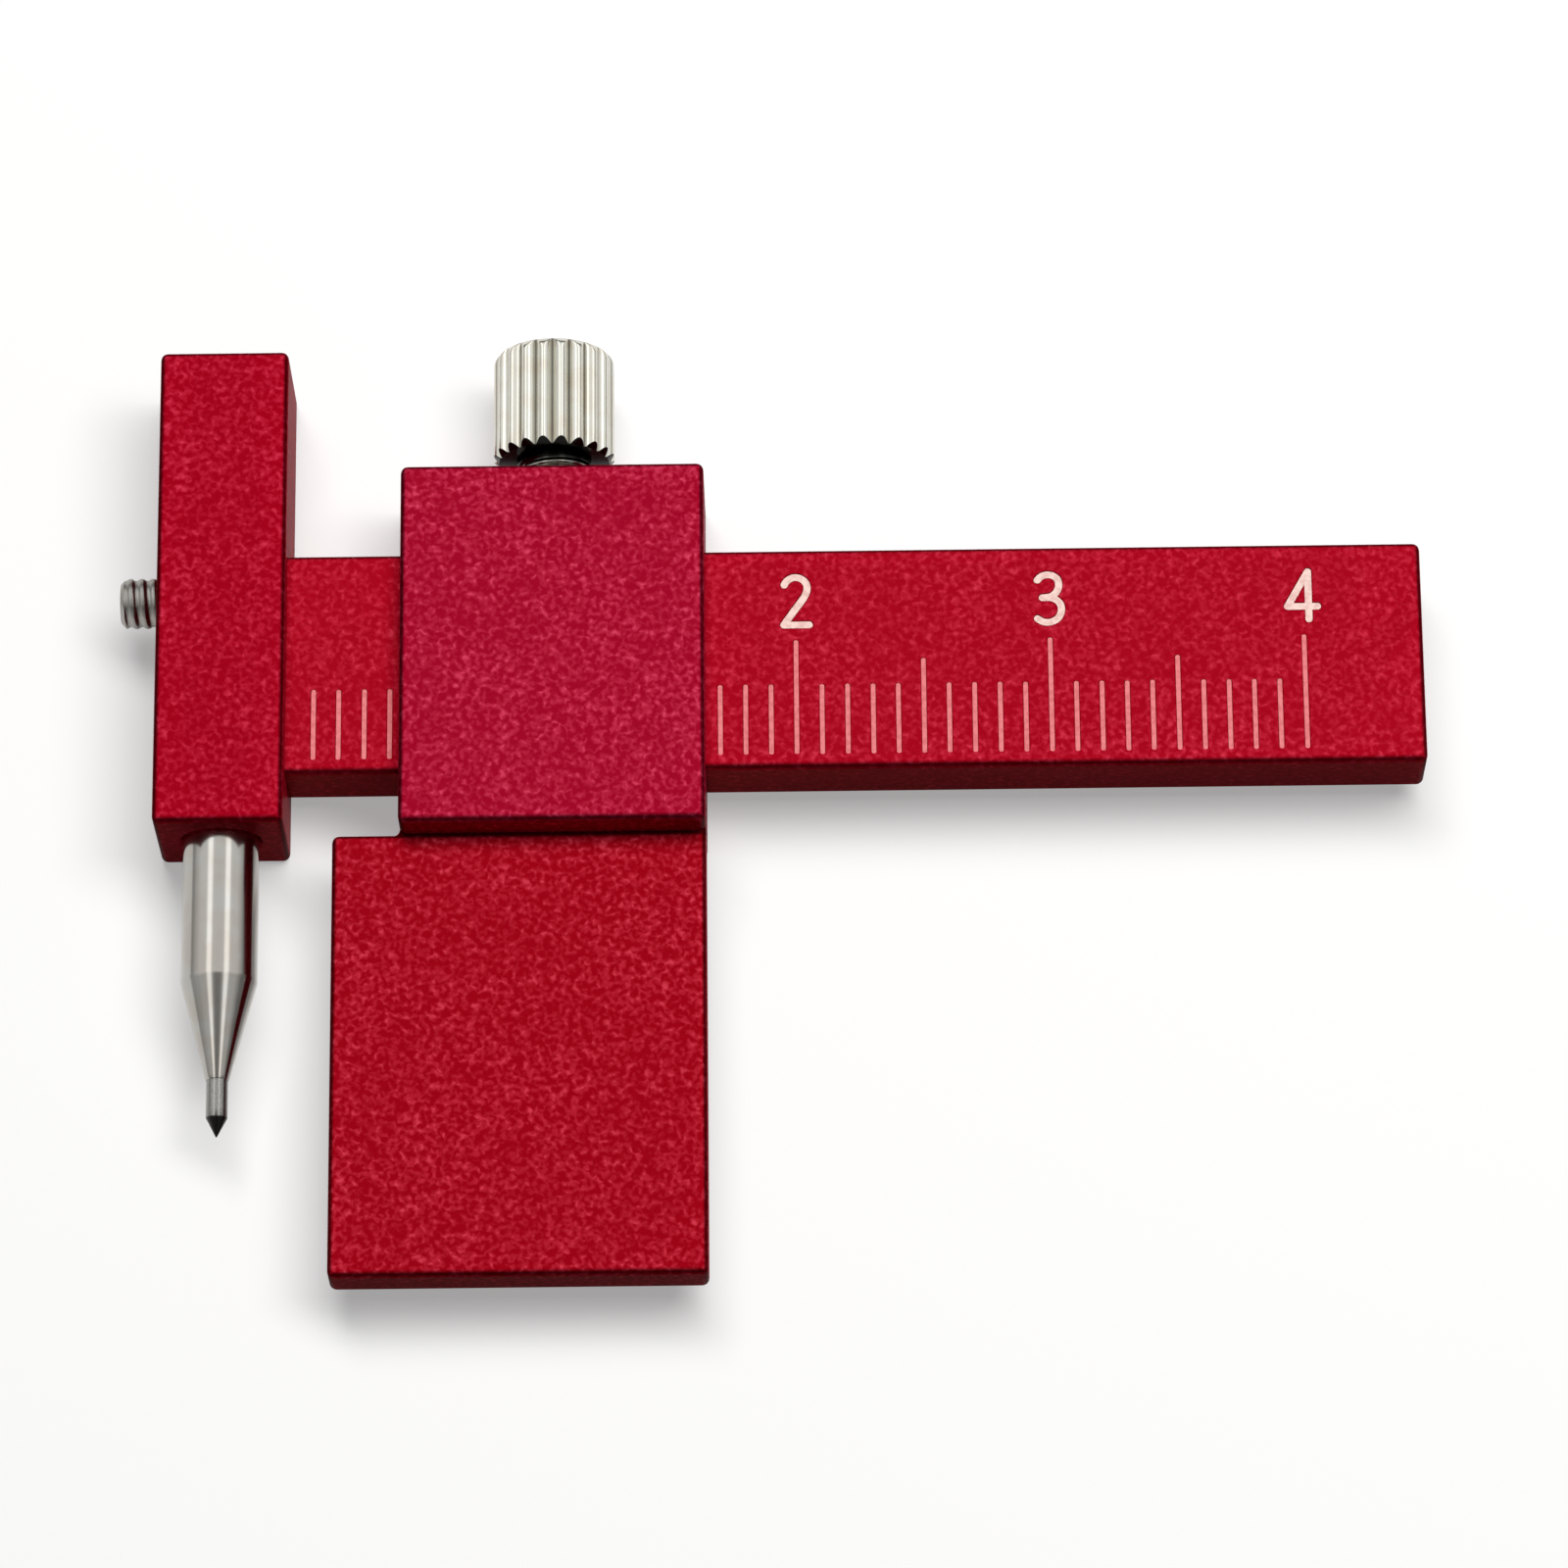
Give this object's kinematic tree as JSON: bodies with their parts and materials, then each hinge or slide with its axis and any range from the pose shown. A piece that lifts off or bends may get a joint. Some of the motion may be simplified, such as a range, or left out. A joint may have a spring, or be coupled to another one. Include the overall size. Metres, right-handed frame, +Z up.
{
  "type": "parallel scribing ruler",
  "caption": "Marking gauge with a millimetre scale beam, a head that holds a carbide scriber, and a sliding fence clamped by a knurled thumb screw.",
  "frame": {"origin": "under the middle of the bounding box, on the surface that the backs of the head block and the slider rest on", "axes": "+X along the beam away from the head, +Y from the scriber's point towards the thumb screw, +Z up out of the scale face"},
  "size_m": [0.0514, 0.0386, 0.005],
  "materials": {
    "anodised_red": "bead-blasted and anodised red, satin",
    "turned_steel": "turned and ground, bright",
    "carbide": "ground tungsten carbide, grey rod with a dark point",
    "scale_paint": "white paint filled into engraved lines",
    "pad_brass": "turned, plain"
  },
  "bodies": {
    "frame": {"beam": "anodised_red", "head_block": "anodised_red", "scale_marks": "scale_paint"},
    "slider": {"slider_body": "anodised_red", "fence_plate": "anodised_red"},
    "pad": {"pressure_pad": "pad_brass"},
    "thumb_screw": {"thumb_screw": "turned_steel"},
    "scriber": {"scriber_shank": "turned_steel", "carbide_point": "carbide"},
    "set_screw": {"set_screw": "turned_steel"}
  },
  "joints": [
    {"name": "slider_travel", "type": "slide", "parent": "frame", "child": "slider", "axis": [1, 0, 0], "range_m": [-0.0028, 0.0326]},
    {"name": "pad_lift", "type": "slide", "parent": "slider", "child": "pad", "axis": [0, 1, 0], "range_m": [0, 0.001]},
    {"name": "thumb_screw_turn", "type": "hinge", "parent": "pad", "child": "thumb_screw", "pos_m": [-0.00856, 0.0137, 0.0025], "axis": [0, 1, 0], "range_deg": [0, 720.1]},
    {"name": "scriber_slide", "type": "slide", "parent": "frame", "child": "scriber", "axis": [0, 1, 0], "range_m": [-0.0128, 0.00295]},
    {"name": "set_screw_turn", "type": "hinge", "parent": "frame", "child": "set_screw", "pos_m": [-0.02443, 0.0089, 0.0025], "axis": [-1, 0, 0], "range_deg": [0, 360]}
  ],
  "couplings": [
    {"joint": "thumb_screw_turn", "follows": "pad_lift", "rad_per_m": 12566}
  ]
}
